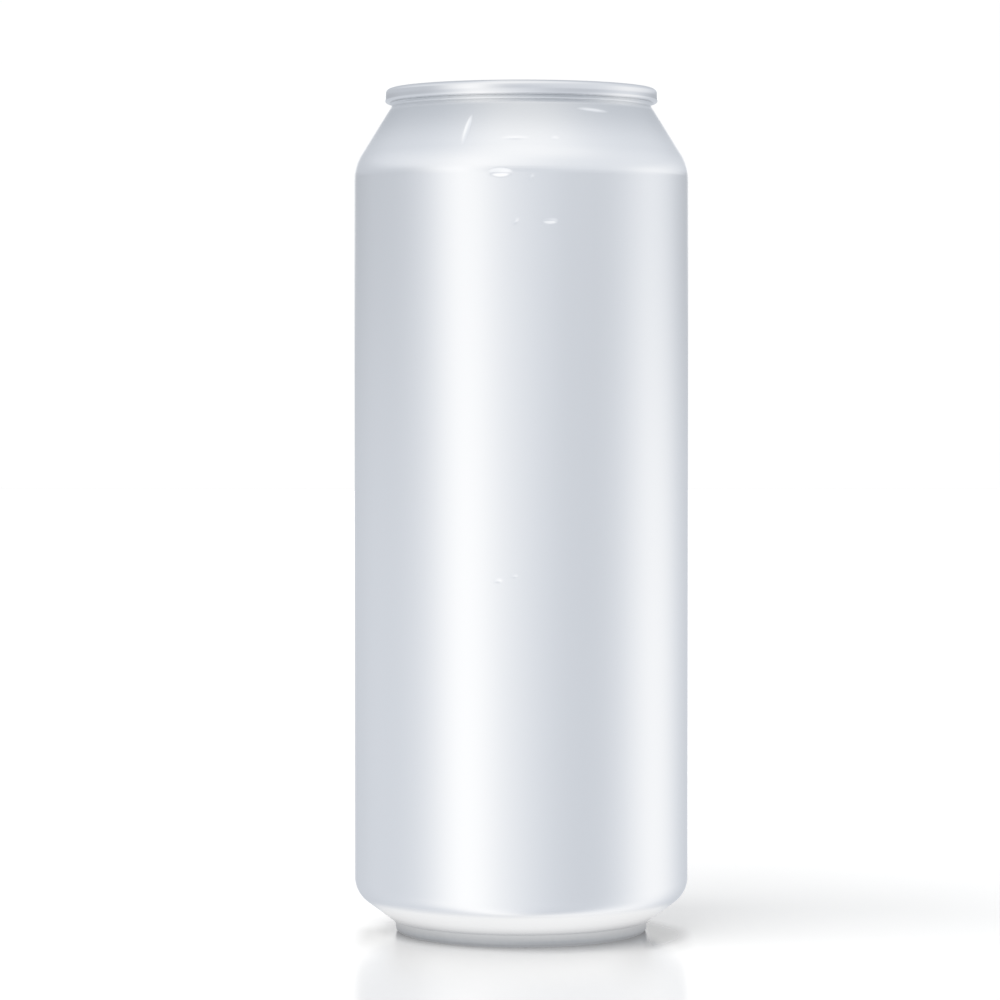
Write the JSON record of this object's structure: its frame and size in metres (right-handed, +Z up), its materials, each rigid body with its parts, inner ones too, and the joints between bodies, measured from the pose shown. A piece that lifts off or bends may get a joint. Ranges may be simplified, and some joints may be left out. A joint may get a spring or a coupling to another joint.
{
  "type": "beer can",
  "caption": "Tall slim-necked aluminium drinks can, shut, bare satin metal, with domed base, seamed end and stay-on pull tab.",
  "frame": {"origin": "on the floor under the can's axis, in the plane of the stand bead", "axes": "+Z up along the can's axis, -Y towards the pour opening, +X to the right of it"},
  "size_m": [0.0664, 0.0664, 0.1676],
  "materials": {
    "satin_aluminium": "satin",
    "end_aluminium": "satin",
    "tab_aluminium": "satin"
  },
  "bodies": {
    "root": {"can_body": "satin_aluminium", "can_end": "end_aluminium", "pull_tab": "tab_aluminium"}
  },
  "joints": []
}
